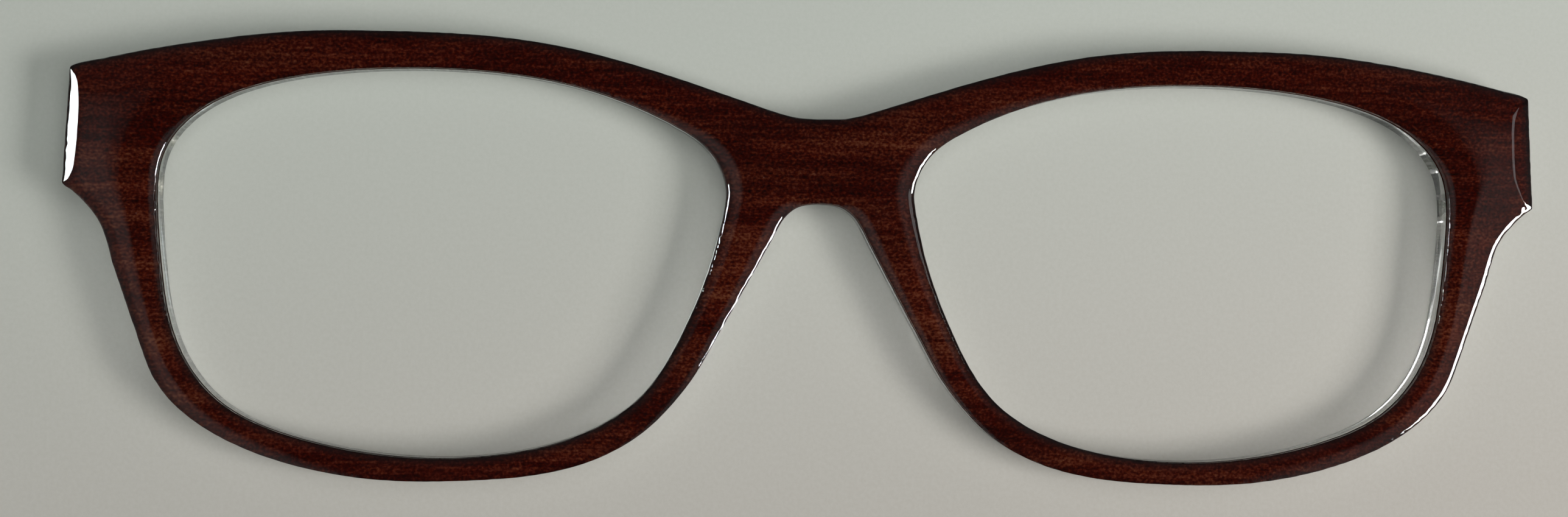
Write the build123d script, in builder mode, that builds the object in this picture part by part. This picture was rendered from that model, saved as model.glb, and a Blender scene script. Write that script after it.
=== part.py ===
"""Magnetic eyeglass topper: a decorative front that snaps over a pair of glasses.

It is a flat laminate with two lens openings, seen here lying on its back. +X runs along the brow, +Y up the
wearer's face and +Z out of the front. The origin is the middle of the front's outline, on its back face.
From the back: a clear acrylic plate with a small magnet glued in each of five blind pockets, a printed
wood-grain film, and a domed coat of clear resin.
"""

from build123d import *

import os

os.makedirs("parts", exist_ok=True)

# Driving dimensions, in millimetres.
plate_thickness = 2.0
film_thickness = 0.15
resin_thickness = 1.2
resin_edge_radius = 0.8

magnet_diameter = 3.0
magnet_thickness = 1.0
glue_wall = 0.1  # between a magnet and its pocket's wall
glue_bed = 0.12  # between a magnet and its pocket's end

# Where the magnets sit: one at the bridge, and two in each end piece.
bridge_magnet = (0.0, 9.4)
upper_magnet = (64.6, 12.9)
lower_magnet = (64.2, 6.4)

# The right half of the front's outline. Each stretch starts where the last one ends.
bridge_top = (0.0, 13.4)
brow = [(2.2, 13.47), (4.6, 14.05), (10.0, 15.8), (17.5, 18.07), (25.0, 19.76), (32.0, 20.52), (40.0, 20.7),
        (48.0, 20.5), (56.0, 19.52), (63.0, 18.2)]
end_top = (68.6, 16.8)
end_bottom = (69.1, 6.1)
end_corner_radius = 0.3
scoop = [(67.4, 4.75), (65.75, 2.7), (64.95, 0.6)]
flank_top = (64.3, -1.6)
flank_bottom = (61.5, -9.5)
lower_rim = [(60.45, -11.75), (57.95, -14.55), (53.0, -17.55), (46.7, -19.6), (39.5, -20.62), (33.0, -20.62),
             (27.0, -20.18), (21.0, -18.72), (16.2, -16.0), (13.25, -13.0)]
nose_bottom = (10.85, -9.55)
nose_top = (4.6, 1.85)
nose_arch = [(3.25, 4.2), (2.0, 5.12)]
arch_top = (0.0, 5.42)
pull = (1.0, 1.0)  # how strongly a curved stretch holds the direction at its two ends

# The right lens opening, anticlockwise from its nose side.
lens = [(8.88, 5.6), (10.0, 0.35), (12.8, -6.9), (16.5, -12.72), (22.8, -16.6), (29.5, -18.2), (37.0, -18.5),
        (47.9, -16.7), (55.0, -13.3), (58.6, -8.4), (60.3, -0.6), (60.7, 4.4), (60.15, 9.3), (57.6, 12.6),
        (51.0, 15.7), (44.0, 16.95), (36.0, 17.33), (25.0, 16.38), (17.95, 14.4), (13.4, 12.3), (10.6, 10.3)]

plate_top = plate_thickness
film_top = plate_top + film_thickness
pocket_diameter = magnet_diameter + 2 * glue_wall
pocket_depth = magnet_thickness + glue_bed

magnet_places = {
    "magnet_bridge": bridge_magnet,
    "magnet_right_upper": upper_magnet,
    "magnet_right_lower": lower_magnet,
    "magnet_left_upper": (-upper_magnet[0], upper_magnet[1]),
    "magnet_left_lower": (-lower_magnet[0], lower_magnet[1]),
}

# ---- outline, shared by the three layers
with BuildSketch() as front:
    with BuildLine():
        Spline(bridge_top, *brow, end_top, tangents=[(1, 0), (1, -0.28)], tangent_scalars=pull)
        Line(end_top, end_bottom)
        flank = Line(flank_top, flank_bottom)
        Spline(end_bottom, *scoop, flank_top, tangents=[(-1, -0.55), flank % 0], tangent_scalars=pull)
        nose_side = Line(nose_bottom, nose_top)
        lower_ends = [flank % 1, nose_side % 0]
        Spline(flank_bottom, *lower_rim, nose_bottom, tangents=lower_ends, tangent_scalars=pull)
        Spline(nose_top, *nose_arch, arch_top, tangents=[nose_side % 1, (-1, 0)], tangent_scalars=pull)
        mirror(about=Plane.YZ)
    make_face()
    end_corners = front.vertices().filter_by(lambda v: abs(v.X) > end_top[0] - end_corner_radius)
    fillet(end_corners, end_corner_radius)
    with BuildSketch(mode=Mode.PRIVATE) as lens_opening:
        with BuildLine():
            Spline(*lens, periodic=True)
        make_face()
    add(lens_opening.sketch, mode=Mode.SUBTRACT)
    add(mirror(lens_opening.sketch, about=Plane.YZ, mode=Mode.PRIVATE), mode=Mode.SUBTRACT)

# ---- clear acrylic plate, with a blind pocket in its back for each magnet
with BuildPart() as base_plate:
    with BuildSketch(Plane.XY):
        add(front.sketch)
    extrude(amount=plate_thickness)
    with BuildSketch(Plane.XY):
        with Locations(*magnet_places.values()):
            Circle(pocket_diameter / 2)
    extrude(amount=pocket_depth, mode=Mode.SUBTRACT)
base_plate.part.label = "base_plate"
export_step(base_plate.part, "parts/base_plate.step")

# ---- printed wood-grain film on the plate's face
with BuildPart() as wood_grain_film:
    with BuildSketch(Plane.XY.offset(plate_top)):
        add(front.sketch)
    extrude(amount=film_thickness)
wood_grain_film.part.label = "wood_grain_film"
export_step(wood_grain_film.part, "parts/wood_grain_film.step")

# ---- clear resin coat, whose surface tension rounds its upper edges
with BuildPart() as resin_dome:
    with BuildSketch(Plane.XY.offset(film_top)):
        add(front.sketch)
    extrude(amount=resin_thickness)
    fillet(resin_dome.faces().sort_by(Axis.Z)[-1].edges(), resin_edge_radius)
resin_dome.part.label = "resin_dome"
export_step(resin_dome.part, "parts/resin_dome.step")

# ---- magnets, each a nickel-plated disc with its face flush with the plate's back
for name, place in magnet_places.items():
    with BuildPart() as magnet:
        with BuildSketch(Plane.XY):
            with Locations(place):
                Circle(magnet_diameter / 2)
        extrude(amount=magnet_thickness)
    magnet.part.label = name
    export_step(magnet.part, f"parts/{name}.step")

# ---- adhesive, a thin cup around each magnet that fills the rest of its pocket
with BuildPart() as magnet_adhesive:
    with BuildSketch(Plane.XY):
        with Locations(*magnet_places.values()):
            Circle(pocket_diameter / 2)
    extrude(amount=pocket_depth)
    with BuildSketch(Plane.XY):
        with Locations(*magnet_places.values()):
            Circle(magnet_diameter / 2)
    extrude(amount=magnet_thickness, mode=Mode.SUBTRACT)
magnet_adhesive.part.label = "magnet_adhesive"
export_step(magnet_adhesive.part, "parts/magnet_adhesive.step")
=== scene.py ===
"""Looks of the magnetic eyeglass topper, which lies face up on a pale table.

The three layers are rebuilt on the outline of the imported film: a clear laser-cut plate, the printed film and
a coat of clear resin, whose upper face is the shape that surface tension gives a liquid held by its rim.
Lengths in this script are millimetres until a mesh is made.
"""

import math

import bpy
import numpy as np
from mathutils import Euler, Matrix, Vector, kdtree
from mathutils.geometry import delaunay_2d_cdt
from mathutils.noise import noise as noise_at


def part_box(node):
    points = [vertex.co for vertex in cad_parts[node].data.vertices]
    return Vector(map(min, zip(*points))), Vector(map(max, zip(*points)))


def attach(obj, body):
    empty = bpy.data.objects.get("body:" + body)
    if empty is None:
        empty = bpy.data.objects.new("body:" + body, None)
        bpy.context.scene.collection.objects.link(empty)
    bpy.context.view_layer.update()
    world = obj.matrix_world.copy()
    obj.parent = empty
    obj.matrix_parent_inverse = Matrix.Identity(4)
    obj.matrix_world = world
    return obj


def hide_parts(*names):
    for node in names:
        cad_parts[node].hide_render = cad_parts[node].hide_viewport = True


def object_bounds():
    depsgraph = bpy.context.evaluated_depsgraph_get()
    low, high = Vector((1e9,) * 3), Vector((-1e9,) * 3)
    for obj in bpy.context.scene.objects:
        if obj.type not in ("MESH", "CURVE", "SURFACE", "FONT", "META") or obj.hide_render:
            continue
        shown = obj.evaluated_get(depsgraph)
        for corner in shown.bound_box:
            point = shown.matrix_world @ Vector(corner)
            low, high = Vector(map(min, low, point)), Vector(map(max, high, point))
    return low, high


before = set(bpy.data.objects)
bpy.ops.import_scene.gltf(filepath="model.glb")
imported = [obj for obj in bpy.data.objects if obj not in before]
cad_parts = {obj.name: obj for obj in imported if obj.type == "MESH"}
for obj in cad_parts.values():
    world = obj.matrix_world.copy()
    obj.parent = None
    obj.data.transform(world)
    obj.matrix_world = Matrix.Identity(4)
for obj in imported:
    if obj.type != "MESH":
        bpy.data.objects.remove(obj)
cad_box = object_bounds()

MM = 0.001
rng = np.random.default_rng(7)


def box_mm(node):
    low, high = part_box(node)
    return np.array(low) / MM, np.array(high) / MM


plate_low, plate_high = box_mm("base_plate")
film_low, film_high = box_mm("wood_grain_film")
resin_top = box_mm("resin_dome")[1][2]
front_width = film_high[0] - film_low[0]

# Outlines
point_spacing = 0.28
closest_points = 0.11
straight_length = 5.0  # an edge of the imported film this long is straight, not a facet of a curve
cut_roughness = 0.004  # how far the laser's cut wanders
rim_steps = 8  # places on each edge of an outline that distances are measured to
row_slack = 0.97  # a row keeps only the points this much of its depth from every outline
grid_gap = 0.6  # of the spacing, kept free between grid points and other points
ray_batch = 2000  # points tested against the outlines at once
sharp_angle = 50  # degrees

# Film and plate
film_rows = (0.06, 0.14, 0.24, 0.38, 0.6, 1.0)  # depths from the rim that get a row of points
film_spacing = 3.0
eased_edge = 0.06  # of the plate's lower edge
sunk = 0.02  # how far one layer reaches into the next, so that no air shows between them

# Resin
capillary_length = 1.35
solver_rounds = 6
resin_inset = 0.03  # the resin stops just short of the film's cut edge
rim_height = 0.52  # of the resin's upright edge, before its shoulder is rounded off
shoulder_width = 0.28
shoulder_drop = 0.05
shoulder_unevenness = 1.2
shoulder_waves = 1.7  # per mm
dome_rows = (0.05, 0.11, 0.19, 0.3, 0.44, 0.62, 0.86, 1.16, 1.5)
grid_spacing = 0.5
fine_spacing = 0.17  # near the two ends
fine_clearance = 0.1  # of the fine points from the rim

# The flat facets that the resin sagged into, along both ends and the right flank
left_end_slope = 0.372
right_end_slope = 0.286
right_bevel_slope = 0.38
right_flank_slope = 0.12
right_flank_height = 0.12  # of the flank's facet at the rim, had the bevel not cut it
right_flank_span = (-15.5, 5.1)  # in Y
right_flank_start = 0.42 * front_width  # in X
end_depth = 0.6  # how far in from the widest point an outline still counts as the end
facet_reach = 3.2  # of the two ends' facets
crease_width = 0.03  # as a height
soft_crease_width = 0.09

# Magnets and their pockets
pocket_segments = 48
magnet_chamfer = 0.12
glue_gap = 0.004  # clear of the magnet and of the pocket, on each side
glue_recess = 0.04  # of the adhesive's face below the plate's back


# ---------------------------------------------------------------- outlines
def signed_area(loop):
    x, y = loop[:, 0], loop[:, 1]
    return 0.5 * float(np.sum(x * np.roll(y, -1) - np.roll(x, -1) * y))


def top_outlines(node):
    """The outlines of a node's flat upper face, the largest first. The material is on the left of each."""
    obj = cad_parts[node]
    top = box_mm(node)[1][2]
    where = [np.array(obj.matrix_world @ v.co) / MM for v in obj.data.vertices]
    key = [tuple(np.round(p, 3)) for p in where]
    uses = {}
    for face in obj.data.polygons:
        if all(abs(where[i][2] - top) < 1e-3 for i in face.vertices):
            ring = list(face.vertices)
            for a, b in zip(ring, ring[1:] + ring[:1]):
                uses.setdefault(frozenset((key[a], key[b])), []).append((key[a], key[b]))
    follows = {pair[0][0]: pair[0][1] for pair in uses.values() if len(pair) == 1}
    loops = []
    while follows:
        start = next(iter(follows))
        loop, here = [], start
        while here in follows:
            if not loop or math.dist(loop[-1], here[:2]) > closest_points:
                loop.append(here[:2])
            here = follows.pop(here)
        loops.append(np.array(loop))
    return sorted(loops, key=lambda loop: -abs(signed_area(loop)))


def smoothed(loop):
    """A closed outline with its facets turned back into curves, at an even spacing."""
    edge = np.roll(loop, -1, 0) - loop
    length = np.linalg.norm(edge, axis=1)
    along = edge / length[:, None]
    before, before_length = np.roll(along, 1, 0), np.roll(length, 1)
    tangent = before * length[:, None] + along * before_length[:, None]
    tangent[before_length > straight_length] = before[before_length > straight_length]
    tangent[length > straight_length] = along[length > straight_length]
    tangent /= np.linalg.norm(tangent, axis=1)[:, None]
    points = []
    for i in range(len(loop)):
        j = (i + 1) % len(loop)
        steps = max(1, round(length[i] / point_spacing))
        t = np.arange(steps)[:, None] / steps
        points.append(
            loop[i] * (2 * t**3 - 3 * t**2 + 1)
            + tangent[i] * length[i] * (t**3 - 2 * t**2 + t)
            + loop[j] * (3 * t**2 - 2 * t**3)
            + tangent[j] * length[i] * (t**3 - t**2)
        )
    return np.concatenate(points)


def inward(loop):
    """Unit normals that point into the material."""
    along = np.roll(loop, -1, 0) - np.roll(loop, 1, 0)
    along /= np.linalg.norm(along, axis=1)[:, None]
    return np.stack([-along[:, 1], along[:, 0]], axis=1)


def ragged(loop):
    """The outline as the laser cut it: it wanders a little, in short waves."""
    wander = rng.normal(size=len(loop))
    wander = wander + 0.5 * (np.roll(wander, 1) + np.roll(wander, -1))
    return loop + inward(loop) * (cut_roughness * wander)[:, None]


def shrunk(loops, distance):
    return [loop + inward(loop) * distance for loop in loops]


def circle(centre, radius, turn=1):
    angle = turn * 2 * math.pi * np.arange(pocket_segments) / pocket_segments
    return np.array(centre) + radius * np.stack([np.cos(angle), np.sin(angle)], axis=1)


def inside(points, loops):
    """Which points are in the material, by counting the outlines that a ray crosses."""
    a = np.concatenate(loops)
    b = np.concatenate([np.roll(loop, -1, 0) for loop in loops])
    rise = b[:, 1] - a[:, 1]
    slope = (b[:, 0] - a[:, 0]) / np.where(rise == 0, 1, rise)
    found = np.zeros(len(points), bool)
    for i in range(0, len(points), ray_batch):
        batch = slice(i, i + ray_batch)
        x, y = points[batch, :1], points[batch, 1:]
        crosses = ((a[:, 1] > y) != (b[:, 1] > y)) & (x < a[:, 0] + (y - a[:, 1]) * slope)
        found[batch] = crosses.sum(axis=1) % 2 == 1
    return found


def nearest(points, places):
    """For each point, the index of the nearest place, and its distance."""
    tree = kdtree.KDTree(len(places))
    for i, (x, y) in enumerate(places):
        tree.insert((x, y, 0), i)
    tree.balance()
    found = [tree.find((x, y, 0)) for x, y in points]
    return np.array([f[1] for f in found]), np.array([f[2] for f in found])


def apart(points, places, gap):
    return nearest(points, places)[1] > gap


class Rim:
    """The outlines, as close points that know which way they face."""

    def __init__(self, loops):
        steps = np.arange(rim_steps) / rim_steps
        after = [np.roll(loop, -1, 0) for loop in loops]
        self.places = np.concatenate([a + (b - a) * t for a, b in zip(loops, after) for t in steps])
        self.facing = np.concatenate([-inward(loop) for loop in loops for t in steps])

    def distance(self, points):
        return nearest(points, self.places)[1]


# ---------------------------------------------------------------- triangles
def triangulated(loops, extra=None):
    """(points, triangles) of the material between the outlines. The outlines' own points come first."""
    points = np.concatenate(loops + ([extra] if extra is not None else []))
    edges, start = [], 0
    for loop in loops:
        n = len(loop)
        edges += [(start + i, start + (i + 1) % n) for i in range(n)]
        start += n
    out = delaunay_2d_cdt([Vector(p) for p in points], edges, [], 0, 1e-7)
    source = [ids[0] for ids in out[3]]
    triangles = np.array([[source[i] for i in face] for face in out[2]])
    keep = inside(points[triangles].mean(axis=1), loops)
    triangles = triangles[keep]
    a, b, c = (points[triangles[:, i]] for i in range(3))
    turned = (b[:, 0] - a[:, 0]) * (c[:, 1] - a[:, 1]) - (b[:, 1] - a[:, 1]) * (c[:, 0] - a[:, 0]) < 0
    triangles[turned] = triangles[turned][:, ::-1]
    return points, triangles


def even_grid(loops, spacing):
    """Points inside the outlines in a triangular pattern."""
    low, high = loops[0].min(axis=0), loops[0].max(axis=0)
    row_gap = spacing * math.sqrt(3) / 2
    rows, columns = np.arange(low[1], high[1], row_gap), np.arange(low[0], high[0], spacing)
    y, x = np.meshgrid(rows, columns, indexing="ij")
    x = x + (np.arange(len(x)) % 2)[:, None] * spacing / 2
    grid = np.stack([x.ravel(), y.ravel()], axis=1)
    return grid[inside(grid, loops)]


def layered(loops, depths, spacing, extra=None):
    """(points, triangles, each point's distance from the rim), with a row of points at each of these depths
    from the rim, an even grid in the middle and any extra points."""
    rim = Rim(loops)
    rows = [extra] if extra is not None else []
    for depth in depths:
        row = np.concatenate([loop + inward(loop) * depth for loop in loops])
        row = row[rim.distance(row) > row_slack * depth]
        rows.append(row if extra is None else row[apart(row, extra, grid_gap * fine_spacing)])
    grid = even_grid(loops, spacing)
    grid = grid[rim.distance(grid) > depths[-1] + grid_gap * spacing]
    rows.append(grid if extra is None else grid[apart(grid, extra, grid_gap * spacing)])
    points, triangles = triangulated(loops, np.concatenate(rows))
    return points, triangles, rim.distance(points)


# ---------------------------------------------------------------- the resin's surface
def liquid_surface(points, triangles, fixed, height):
    """Heights of a liquid that wets the whole shape and is held at its rim, the first `fixed` points.

    Surface tension against gravity, solved with linear elements: the surface bends towards a level that
    it would reach far from any rim, over the capillary length. The level is set so that the top is `height`.
    """
    a, b, c = (points[triangles[:, i]] for i in range(3))
    area = 0.5 * ((b[:, 0] - a[:, 0]) * (c[:, 1] - a[:, 1]) - (b[:, 1] - a[:, 1]) * (c[:, 0] - a[:, 0]))
    opposite = np.stack([c - b, a - c, b - a], axis=1)
    gradient = np.stack([-opposite[:, :, 1], opposite[:, :, 0]], axis=2) / (2 * area)[:, None, None]
    n = len(points)
    mass = np.bincount(triangles.ravel(), np.repeat(area / 3, 3), n)
    row = np.repeat(triangles, 3, axis=1).ravel()
    column = np.tile(triangles, (1, 3)).ravel()
    free = np.arange(n) >= fixed
    surface = np.zeros(n)
    for _ in range(solver_rounds):
        slope = np.einsum("tij,ti->tj", gradient, surface[triangles])
        tension = capillary_length**2 * area / np.sqrt(1 + (slope**2).sum(axis=1))
        pull = (np.einsum("tik,tjk->tij", gradient, gradient) * tension[:, None, None]).ravel()
        diagonal = np.bincount(row[row == column], pull[row == column], n) + mass

        def applied(h):
            return np.where(free, np.bincount(row, pull * h[column], n) + mass * h, 0)

        h = np.zeros(n)
        left = np.where(free, mass, 0)
        direction = left / diagonal
        power = left @ direction
        start = power
        while power > 1e-12 * start:
            moved = applied(direction)
            step = power / (direction @ moved)
            h += step * direction
            left -= step * moved
            eased = left / diagonal
            power, last = left @ eased, power
            direction = eased + direction * (power / last)
        surface = h * height / h.max()
    return surface


def with_facets(points, surface, outline):
    """The surface cut down to flat facets that rise from both ends and from the right flank."""
    x, y = outline[:, 0], outline[:, 1]
    end = np.abs(x) > x.max() - end_depth
    flank = (x > right_flank_start) & (y > right_flank_span[0]) & (y < right_flank_span[1])
    sides = (
        (flank, right_flank_height, right_flank_slope, soft_crease_width),
        (flank, 0, right_bevel_slope, crease_width),
        (end & (x < 0), 0, left_end_slope, crease_width),
        (end & (x > 0), 0, right_end_slope, crease_width),
    )
    cut = surface
    for side, height, slope, crease in sides:
        facet = height + slope * nearest(points, outline[side])[1]
        share = np.clip(0.5 + 0.5 * (facet - cut) / crease, 0, 1)
        cut = facet * (1 - share) + cut * share - crease * share * (1 - share)  # the lower, without a corner
    return cut


def shoulder(points, distance):
    """How much a rounded shoulder, uneven along the rim, takes off the surface."""
    uneven = np.array([noise_at(Vector((x, y, 0)) * shoulder_waves) for x, y in points])
    drop = shoulder_drop * (1 + shoulder_unevenness * uneven)
    return drop * np.clip(1 - distance / shoulder_width, 0, 1) ** 2


# ---------------------------------------------------------------- meshes
def made(name, points, faces, attributes=None):
    """A closed, smooth-shaded mesh object from points in mm. Attributes hold a number for each point."""
    mesh = bpy.data.meshes.new(name)
    mesh.from_pydata([tuple(p * MM) for p in points], [], [tuple(int(i) for i in f) for f in faces])
    mesh.validate()
    mesh.update()
    mesh.shade_smooth()
    mesh.set_sharp_from_angle(angle=math.radians(sharp_angle))
    for attribute, values in (attributes or {}).items():
        mesh.attributes.new(attribute, "FLOAT", "POINT").data.foreach_set("value", values)
    obj = bpy.data.objects.new(name, mesh)
    bpy.context.scene.collection.objects.link(obj)
    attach(obj, "root")
    return obj


def joined_rings(lower, upper, sizes):
    """Side faces between two stacks of rings that start at these indices."""
    faces, offset = [], 0
    for n in sizes:
        for i in range(n):
            j = (i + 1) % n
            faces.append((lower + offset + i, lower + offset + j, upper + offset + j, upper + offset + i))
        offset += n
    return faces


def lifted(points, z):
    return np.column_stack([points, np.broadcast_to(z, len(points))])


def revolved(profile, centre):
    """Points and faces of a solid turned about a vertical axis: profile runs from the axis to the axis."""
    points = [np.array([*centre, profile[0][1]])]
    for radius, z in profile[1:-1]:
        points.extend(lifted(circle(centre, radius), z))
    points.append(np.array([*centre, profile[-1][1]]))
    n, last = pocket_segments, len(points) - 1
    faces = []
    for i in range(n):
        j = (i + 1) % n
        faces.append((0, 1 + j, 1 + i))
        for k in range(len(profile) - 3):
            ring = 1 + k * n
            faces.append((ring + i, ring + j, ring + n + j, ring + n + i))
        faces.append((last, last - n + i, last - n + j))
    return np.array(points), faces


# ---------------------------------------------------------------- shader helpers
def node(tree, kind, inputs=None, **settings):
    new = tree.nodes.new(kind)
    for name, value in settings.items():
        setattr(new, name, value)
    for name, value in (inputs or {}).items():
        if isinstance(value, bpy.types.NodeSocket):
            tree.links.new(value, new.inputs[name])
        else:
            new.inputs[name].default_value = value
    return new


def material(name):
    """(material, node tree, its Principled shader)"""
    new = bpy.data.materials.new(name)
    new.use_nodes = True
    return new, new.node_tree, new.node_tree.nodes["Principled BSDF"]


def mm_position(tree, scale=(1, 1, 1)):
    """The place on the object in mm, stretched by scale."""
    place = node(tree, "ShaderNodeTexCoord").outputs["Object"]
    return node(tree, "ShaderNodeMapping", {"Vector": place, "Scale": [s / MM for s in scale]}).outputs[0]


def noise(tree, scale, detail=2.0, roughness=0.5):
    """Noise with this many waves per mm along X, Y and Z."""
    inputs = {"Vector": mm_position(tree, scale), "Scale": 1.0, "Detail": detail, "Roughness": roughness}
    return node(tree, "ShaderNodeTexNoise", inputs).outputs["Fac"]


def ramp(tree, factor, stops):
    new = node(tree, "ShaderNodeValToRGB", {"Fac": factor})
    elements = new.color_ramp.elements
    while len(elements) < len(stops):
        elements.new(0.5)
    for element, (position, colour) in zip(elements, stops):
        element.position = position
        element.color = (*colour, 1)
    return new.outputs["Color"]


def ranged(tree, value, low, high, to_low, to_high):
    inputs = {"Value": value, "From Min": low, "From Max": high, "To Min": to_low, "To Max": to_high}
    return node(tree, "ShaderNodeMapRange", inputs).outputs["Result"]


def mixed(tree, factor, a, b, blend="MIX"):
    """Colour b over colour a. Each input is a socket or a constant."""
    new = node(tree, "ShaderNodeMix", data_type="RGBA", blend_type=blend)
    for socket, value in ((new.inputs[0], factor), (new.inputs[6], a), (new.inputs[7], b)):
        if isinstance(value, bpy.types.NodeSocket):
            tree.links.new(value, socket)
        else:
            socket.default_value = (*value, 1) if isinstance(value, tuple) else value
    return new.outputs[2]


def maths(tree, operation, a, b=0.0):
    new = node(tree, "ShaderNodeMath", operation=operation)
    for socket, value in ((new.inputs[0], a), (new.inputs[1], b)):
        if isinstance(value, bpy.types.NodeSocket):
            tree.links.new(value, socket)
        else:
            socket.default_value = value
    return new.outputs[0]


def facing(tree):
    """The height component of the surface's own normal, from -1 to 1."""
    normal = node(tree, "ShaderNodeTexCoord").outputs["Normal"]
    return node(tree, "ShaderNodeSeparateXYZ", {"Vector": normal}).outputs["Z"]


def carried(tree, name):
    """A number that the mesh carries for each point."""
    return node(tree, "ShaderNodeAttribute", attribute_name=name).outputs["Fac"]


def bumped(tree, shader, height, distance):
    """Adds relief to a shader: distance is the relief's depth in mm where height goes from 0 to 1."""
    bump = node(tree, "ShaderNodeBump", {"Height": height, "Distance": distance * MM, "Strength": 1.0})
    tree.links.new(bump.outputs["Normal"], shader.inputs["Normal"])


# ---------------------------------------------------------------- materials
def wood_colour(tree, mottle):
    """(colour, fibres) of a grain that runs along the brow, a little lighter at mid height."""
    patches = noise(tree, (0.045, 0.4, 1), 3.0, 0.55)
    streaks = noise(tree, (0.13, 2.6, 1), 3.0, 0.6)
    fibres = noise(tree, (1.0, 4.5, 1), 2.0, 0.6)
    grain = 0.0
    for layer, weight in ((patches, 0.35), (streaks, 0.26), (fibres, 0.17), (mottle, 0.44)):
        grain = maths(tree, "ADD", grain, maths(tree, "MULTIPLY", layer, weight))
    height = node(tree, "ShaderNodeSeparateXYZ", {"Vector": mm_position(tree)}).outputs["Y"]
    from_band = maths(tree, "ABSOLUTE", maths(tree, "ADD", height, 4.0))
    grain = maths(tree, "ADD", grain, ranged(tree, from_band, 3.0, 12.0, 0.02, -0.035))
    brown = ramp(tree, grain, [
        (0.43, (0.0065, 0.0004, 0.0003)),
        (0.53, (0.0175, 0.0011, 0.0005)),
        (0.61, (0.0345, 0.0040, 0.0015)),
        (0.68, (0.0600, 0.0130, 0.0055)),
        (0.76, (0.0950, 0.0310, 0.0150)),
    ])
    redness = ranged(tree, noise(tree, (0.05, 0.22, 1), 2.0, 0.5), 0.42, 0.62, 0.0, 0.55)
    return mixed(tree, redness, brown, (1.0, 0.62, 0.55), "MULTIPLY"), fibres


def speckled(tree, brown):
    """A few pale specks in the print, in some of the cells of a Voronoi pattern."""
    cells = node(tree, "ShaderNodeTexVoronoi", {"Vector": mm_position(tree), "Scale": 0.42})
    speck = ranged(tree, cells.outputs["Distance"], 0.02, 0.045, 1.0, 0.0)
    pick = node(tree, "ShaderNodeSeparateColor", {"Color": cells.outputs["Color"]}).outputs[0]
    picked = ranged(tree, pick, 0.68, 0.7, 0.0, 0.55)
    return mixed(tree, maths(tree, "MULTIPLY", speck, picked), brown, (0.16, 0.11, 0.1))


def scorched_and_shaded(tree, brown):
    """A dark band along the cut edge, uneven in width: the laser's burn, plus painted shade that darkens it
    most where an edge faces +Y.
    """
    wobble = maths(tree, "MULTIPLY", noise(tree, (3.0, 3.0, 1)), 0.12)
    depth = ranged(tree, maths(tree, "SUBTRACT", carried(tree, "rim_distance"), wobble), 0.0, 1.0, 0.0, 1.0)
    burnt = ramp(tree, depth, [(0.16, (0.97,) * 3), (0.36, (0.5,) * 3), (0.95, (0.0,) * 3)])
    # painted shade: the burnt band is drawn darker where its edge faces +Y, lighter where it faces -Y
    return mixed(tree, maths(tree, "MULTIPLY", burnt, carried(tree, "painted_edge_shade")), brown, (0.008, 0.006, 0.006))


def wood_print():
    """Reddish-brown wood grain along the brow on white vinyl; its cut edge is dark with burn and painted
    shade.
    """
    new, tree, shader = material("wood_print")
    mottle = noise(tree, (3.4, 4.2, 1), 1.0, 0.5)
    brown, fibres = wood_colour(tree, mottle)
    brown = scorched_and_shaded(tree, speckled(tree, brown))
    clouds = noise(tree, (1.5, 1.5, 1), 3.0)
    vinyl = ramp(tree, clouds, [(0.3, (0.82, 0.81, 0.79)), (0.7, (0.88, 0.87, 0.85))])
    underside = ranged(tree, facing(tree), -0.6, -0.4, 1.0, 0.0)
    tree.links.new(mixed(tree, underside, brown, vinyl), shader.inputs["Base Color"])
    tree.links.new(ranged(tree, mottle, 0.3, 0.7, 0.42, 0.6), shader.inputs["Roughness"])
    shader.inputs["Specular IOR Level"].default_value = 0.0
    bumped(tree, shader, fibres, 0.006)
    return new


def clear_resin():
    """Clear cured resin, glossy, with the faint unevenness of a poured surface."""
    new, tree, shader = material("clear_resin")
    shader.inputs["Base Color"].default_value = (0.99, 0.985, 0.975, 1)
    shader.inputs["Transmission Weight"].default_value = 1.0
    shader.inputs["IOR"].default_value = 1.5
    haze = ranged(tree, noise(tree, (0.6, 0.6, 0.6), 3.0), 0.3, 0.7, 0.015, 0.05)
    tree.links.new(haze, shader.inputs["Roughness"])
    swell = maths(tree, "MULTIPLY", noise(tree, (0.35, 0.35, 0.35), 2.0), 0.012)
    near_rim = ranged(tree, carried(tree, "rim_distance"), 0.1, 0.4, 0.02, 0.0)
    nicks = maths(tree, "MULTIPLY", noise(tree, (2.4, 2.4, 1.0), 1.0), near_rim)
    bumped(tree, shader, maths(tree, "ADD", swell, nicks), 1.0)
    return new


def clear_acrylic():
    """Clear cast acrylic: polished faces, and walls that the laser left ridged and slightly frosted."""
    new, tree, shader = material("clear_acrylic")
    shader.inputs["Base Color"].default_value = (0.98, 0.995, 0.99, 1)
    shader.inputs["Transmission Weight"].default_value = 1.0
    shader.inputs["IOR"].default_value = 1.49
    wall = ranged(tree, maths(tree, "ABSOLUTE", facing(tree)), 0.3, 0.8, 1.0, 0.0)
    ridges = noise(tree, (3.5, 3.5, 0.35), 2.0, 0.6)
    frost = maths(tree, "MULTIPLY", wall, ranged(tree, ridges, 0.3, 0.7, 0.05, 0.15))
    tree.links.new(maths(tree, "ADD", frost, 0.02), shader.inputs["Roughness"])
    bumped(tree, shader, maths(tree, "MULTIPLY", ridges, wall), 0.004)
    return new


def nickel():
    """Satin nickel plating, finely brushed."""
    new, tree, shader = material("nickel_plating")
    shader.inputs["Metallic"].default_value = 1.0
    brushing = noise(tree, (7.0, 1.2, 2.0), 3.0, 0.6)
    metal = ramp(tree, brushing, [(0.35, (0.5, 0.48, 0.44)), (0.65, (0.66, 0.64, 0.6))])
    tree.links.new(metal, shader.inputs["Base Color"])
    tree.links.new(ranged(tree, brushing, 0.3, 0.7, 0.2, 0.38), shader.inputs["Roughness"])
    bumped(tree, shader, brushing, 0.004)
    return new


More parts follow.
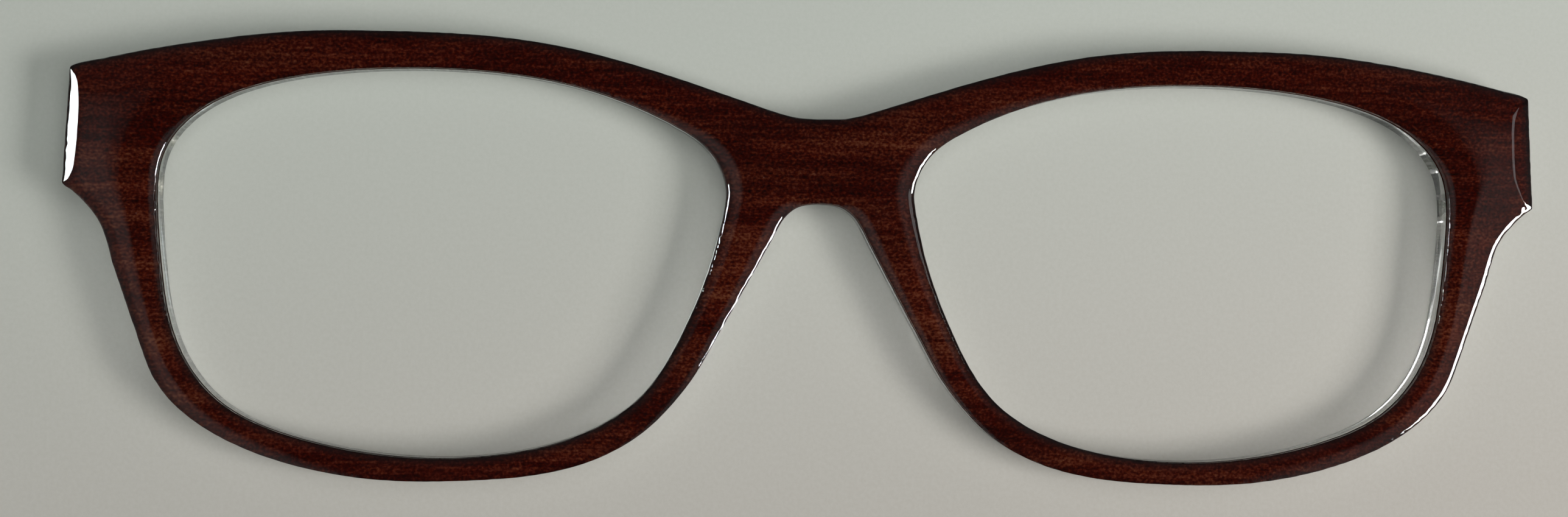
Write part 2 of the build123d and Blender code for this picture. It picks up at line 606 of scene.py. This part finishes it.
def clear_glue():
    """Cured adhesive: nearly clear, faintly yellow, with small bubbles."""
    new, tree, shader = material("clear_adhesive")
    bubbles = noise(tree, (2.5, 2.5, 2.5), 3.0)
    tint = ramp(tree, bubbles, [(0.4, (0.82, 0.79, 0.68)), (0.7, (0.93, 0.91, 0.84))])
    tree.links.new(tint, shader.inputs["Base Color"])
    shader.inputs["Transmission Weight"].default_value = 0.7
    shader.inputs["IOR"].default_value = 1.48
    tree.links.new(ranged(tree, bubbles, 0.3, 0.7, 0.15, 0.4), shader.inputs["Roughness"])
    return new


def table_top():
    """Pale laminate under painted light: darker and pinker below the object, lighter and greener above,
    neutral far away.
    """
    new, tree, shader = material("table_top")
    place = node(tree, "ShaderNodeSeparateXYZ", {"Vector": mm_position(tree)})
    across = maths(tree, "SUBTRACT", place.outputs["Y"], maths(tree, "MULTIPLY", place.outputs["X"], 0.15))
    # painted light across the table: darker and pinker towards -Y, lighter and greener towards +Y
    far = ranged(tree, across, -31.0, 22.0, 0.0, 1.0)
    pale = ramp(tree, far, [
        (0.0, (0.6, 0.567, 0.53)),
        (0.4, (0.637, 0.622, 0.585)),
        (1.0, (0.645, 0.675, 0.632)),
    ])
    speckle = ramp(tree, noise(tree, (2.5, 2.5, 1), 3.0, 0.7), [(0.35, (0.3,) * 3), (0.65, (0.9,) * 3)])
    pale = mixed(tree, 0.06, pale, speckle, "OVERLAY")
    away = node(tree, "ShaderNodeVectorMath", {"Vector": mm_position(tree)}, operation="LENGTH")
    fade = ranged(tree, away.outputs["Value"], 90.0, 220.0, 0.0, 1.0)
    pale = mixed(tree, fade, pale, (0.63, 0.635, 0.6))
    tree.links.new(pale, shader.inputs["Base Color"])
    shader.inputs["Roughness"].default_value = 0.7
    shader.inputs["Specular IOR Level"].default_value = 0.0
    return new


# ---------------------------------------------------------------- pieces
outlines = [ragged(smoothed(loop)) for loop in top_outlines("wood_grain_film")]
ring_sizes = [len(loop) for loop in outlines]
ring_points = sum(ring_sizes)
magnet_nodes = [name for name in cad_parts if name.startswith("magnet_") and name != "magnet_adhesive"]
magnet_centres = [(np.add(*box_mm(name)) / 2)[:2] for name in magnet_nodes]
glue_high = box_mm("magnet_adhesive")[1]
pocket_radius = glue_high[0] - max(centre[0] for centre in magnet_centres)


def make_film():
    """The printed film: a thin slab whose points carry their distance from the rim and the painted edge shade
    there.

    The painted shade darkens the burnt edge band most where an edge faces +Y.
    """
    points, triangles, distance = layered(outlines, film_rows, film_spacing)
    rim = Rim(outlines)
    upward = rim.facing[nearest(points, rim.places)[0], 1]
    # painted shade on the burnt edge, strongest where the edge faces +Y
    painted_edge_shade = np.clip(0.75 + 0.6 * upward, 0.1, 1)
    flat, flat_triangles = triangulated(outlines)
    count = len(points)
    whole = np.concatenate([lifted(points, film_high[2]), lifted(flat, film_low[2])])
    faces = [tuple(t) for t in triangles]
    faces += [tuple(count + i for i in t[::-1]) for t in flat_triangles]
    faces += joined_rings(count, 0, ring_sizes)
    below = np.zeros(len(flat))
    attributes = {"rim_distance": np.concatenate([distance, below]), "painted_edge_shade": np.concatenate([painted_edge_shade, below])}
    piece = made("printed_film", whole, faces, attributes=attributes)
    piece.data.materials.append(wood_print())
    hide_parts("wood_grain_film")


def make_resin():
    """The domed coat. Its foot is sunk into the film, and its rim stands just inside the film's."""
    rims = shrunk(outlines, resin_inset)
    fine = even_grid(rims, fine_spacing)
    fine = fine[np.abs(fine[:, 0]) > rims[0][:, 0].max() - facet_reach]
    fine = fine[apart(fine, np.concatenate(rims), fine_clearance)]
    points, triangles, distance = layered(rims, dome_rows, grid_spacing, fine)
    foot, foot_triangles = triangulated(rims)
    rim_top = film_high[2] + rim_height
    surface = liquid_surface(points, triangles, ring_points, resin_top - rim_top)
    surface = with_facets(points, surface, rims[0]) - shoulder(points, distance)
    count = len(points)
    whole = np.concatenate([lifted(points, rim_top + surface), lifted(foot, film_high[2] - sunk)])
    faces = [tuple(t) for t in triangles]
    faces += [tuple(count + i for i in t[::-1]) for t in foot_triangles]
    faces += joined_rings(count, 0, ring_sizes)
    rim_distance = np.concatenate([distance, np.zeros(len(foot))])
    piece = made("domed_resin", whole, faces, attributes={"rim_distance": rim_distance})
    piece.data.materials.append(clear_resin())
    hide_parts("resin_dome")


def make_plate():
    """The clear plate, with its lower edge eased and a round pocket for each magnet."""
    rims = shrunk(outlines, sunk)
    holes = [circle(centre, pocket_radius, -1) for centre in magnet_centres]
    top, top_triangles = triangulated(rims)
    base, base_triangles = triangulated(shrunk(rims, eased_edge) + holes)
    levels = [
        lifted(top, plate_high[2] + sunk),
        lifted(np.concatenate(rims), plate_low[2] + eased_edge),
        lifted(base, plate_low[2]),
        lifted(np.concatenate(holes), glue_high[2]),
        lifted(np.array(magnet_centres), glue_high[2]),
    ]
    starts = np.cumsum([0] + [len(level) for level in levels])
    faces = [tuple(t) for t in top_triangles]
    faces += [tuple(starts[2] + i for i in t[::-1]) for t in base_triangles]
    faces += joined_rings(starts[1], starts[0], ring_sizes)
    faces += joined_rings(starts[2], starts[1], ring_sizes)
    faces += joined_rings(starts[2] + ring_points, starts[3], [pocket_segments] * len(holes))
    for k in range(len(holes)):
        ring = starts[3] + k * pocket_segments
        for i in range(pocket_segments):
            faces.append((starts[4] + k, ring + i, ring + (i + 1) % pocket_segments))
    piece = made("clear_plate", np.concatenate(levels), faces)
    piece.data.materials.append(clear_acrylic())
    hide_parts("base_plate")


def make_magnets():
    """Five nickel-plated discs with broken edges."""
    plating = nickel()
    for name, centre in zip(magnet_nodes, magnet_centres):
        low, high = box_mm(name)
        radius = (high[0] - low[0]) / 2
        profile = [
            (0, low[2]), (radius - magnet_chamfer, low[2]), (radius, low[2] + magnet_chamfer),
            (radius, high[2] - magnet_chamfer), (radius - magnet_chamfer, high[2]), (0, high[2]),
        ]
        piece = made(f"plated_{name}", *revolved(profile, centre))
        piece.data.materials.append(plating)
        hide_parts(name)


def make_adhesive():
    """A thin cup of adhesive round each magnet, its face sunk below the plate's back."""
    cups, faces = [], []
    for name, centre in zip(magnet_nodes, magnet_centres):
        low, high = box_mm(name)
        inner = (high[0] - low[0]) / 2 + glue_gap
        outer = pocket_radius - glue_gap
        profile = [
            (0, high[2] + glue_gap), (inner, high[2] + glue_gap), (inner, low[2] + 2 * glue_recess),
            ((inner + outer) / 2, low[2] + glue_recess), (outer, low[2] + glue_recess / 2),
            (outer, glue_high[2] - glue_gap), (0, glue_high[2] - glue_gap),
        ]
        points, cup_faces = revolved(profile, centre)
        start = len(cups) * len(points)
        cups.append(points)
        faces += [tuple(start + i for i in face) for face in cup_faces]
    piece = made("adhesive_cups", np.concatenate(cups), faces)
    piece.data.materials.append(clear_glue())
    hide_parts("magnet_adhesive")


make_film()
make_resin()
make_plate()
make_magnets()
make_adhesive()


# ---------------------------------------------------------------- table, light and camera
def make_table():
    """A flat top just under the part, in metres."""
    size, gap = 1.6, 0.02 * MM
    mesh = bpy.data.meshes.new("table")
    low = cad_box[0][2] - gap
    corners = [(-size, -size, low), (size, -size, low), (size, size, low), (-size, size, low)]
    mesh.from_pydata(corners, [], [(0, 1, 2, 3)])
    table = bpy.data.objects.new("table", mesh)
    table.data.materials.append(table_top())
    bpy.context.scene.collection.objects.link(table)


def softbox(name, azimuth, elevation, distance, width, height, radiance, colour=(1, 1, 1),
            glints=True, lights=True):
    """A rectangular lamp that faces the origin. Azimuth 0 is +X and 90 is +Y, in degrees."""
    lamp = bpy.data.lights.new(name, "AREA")
    lamp.shape = "RECTANGLE"
    lamp.size, lamp.size_y = width, height
    lamp.energy = radiance * math.pi * width * height
    lamp.color = colour
    obj = bpy.data.objects.new(name, lamp)
    a, e = math.radians(azimuth), math.radians(elevation)
    away = Vector((math.cos(a) * math.cos(e), math.sin(a) * math.cos(e), math.sin(e)))
    obj.location = away * distance
    obj.rotation_euler = away.to_track_quat("Z", "Y").to_euler()
    obj.visible_camera = False
    obj.visible_diffuse = lights
    obj.visible_transmission = lights
    obj.visible_glossy = glints
    bpy.context.scene.collection.objects.link(obj)


def make_world():
    """A pale room that is darker straight above and along Y, as over a table that someone leans across."""
    world = bpy.data.worlds.new("room")
    world.use_nodes = True
    bpy.context.scene.world = world
    tree = world.node_tree
    way = node(tree, "ShaderNodeTexCoord").outputs["Generated"]
    split = node(tree, "ShaderNodeSeparateXYZ", {"Vector": way})
    sideways = maths(tree, "ABSOLUTE", maths(tree, "SUBTRACT", split.outputs["X"], 0.06))
    wall = ranged(tree, sideways, 0.28, 0.4, 0.0, 1.0)  # the pale walls at both sides
    wall = maths(tree, "MULTIPLY", wall, ranged(tree, sideways, 0.6, 0.72, 0.32, 0.16))
    pale = maths(tree, "MULTIPLY", wall, ranged(tree, split.outputs["Y"], 0.04, 0.18, 1.0, 0.1))
    pale = maths(tree, "ADD", pale, 0.022)
    horizon = ranged(tree, split.outputs["Z"], 0.0, 0.3, 1.0, 0.0)
    horizon = maths(tree, "MULTIPLY", horizon, ranged(tree, split.outputs["Y"], -0.3, 0.3, 0.5, 0.12))
    pale = maths(tree, "MAXIMUM", pale, horizon)
    background = tree.nodes["Background"]
    background.inputs["Color"].default_value = (0.97, 1.0, 0.96, 1)
    tree.links.new(pale, background.inputs["Strength"])


def make_camera():
    """Above the middle, a little to the left and turned to match, as the front was photographed by hand."""
    data = bpy.data.cameras.new("camera")
    data.sensor_width = 36
    data.lens = 40.7
    data.clip_start, data.clip_end = 0.01, 20
    camera = bpy.data.objects.new("camera", data)
    camera.location = Vector((-0.1182, -0.0221, 1.2128)) * front_width * MM  # in widths of the front
    camera.rotation_euler = Euler([math.radians(a) for a in (1.092, -4.498, 0.763)])
    bpy.context.scene.collection.objects.link(camera)
    bpy.context.scene.camera = camera


make_table()
make_world()
# name, azimuth, elevation, distance, width, height, radiance and colour: some lamps only light the scene, and
# some only show as glints in the resin
softbox("window", -16, 27, 0.8, 0.4, 0.224, 16.7, (1.0, 0.98, 0.95), glints=False)
softbox("window_glint", -16, 27, 0.5, 0.25, 0.14, 45, lights=False)
softbox("side_glint", 174, 31, 0.5, 0.17, 0.1, 34, (0.9, 1.0, 1.0), lights=False)
softbox("ridge_glint", 8, 38, 0.5, 0.12, 0.09, 1.6, lights=False)
softbox("ceiling", 38, 76, 0.6, 0.72, 0.72, 0.9, (0.97, 1.0, 0.96), glints=False)
make_camera()
bpy.context.scene.view_settings.view_transform = "Standard"
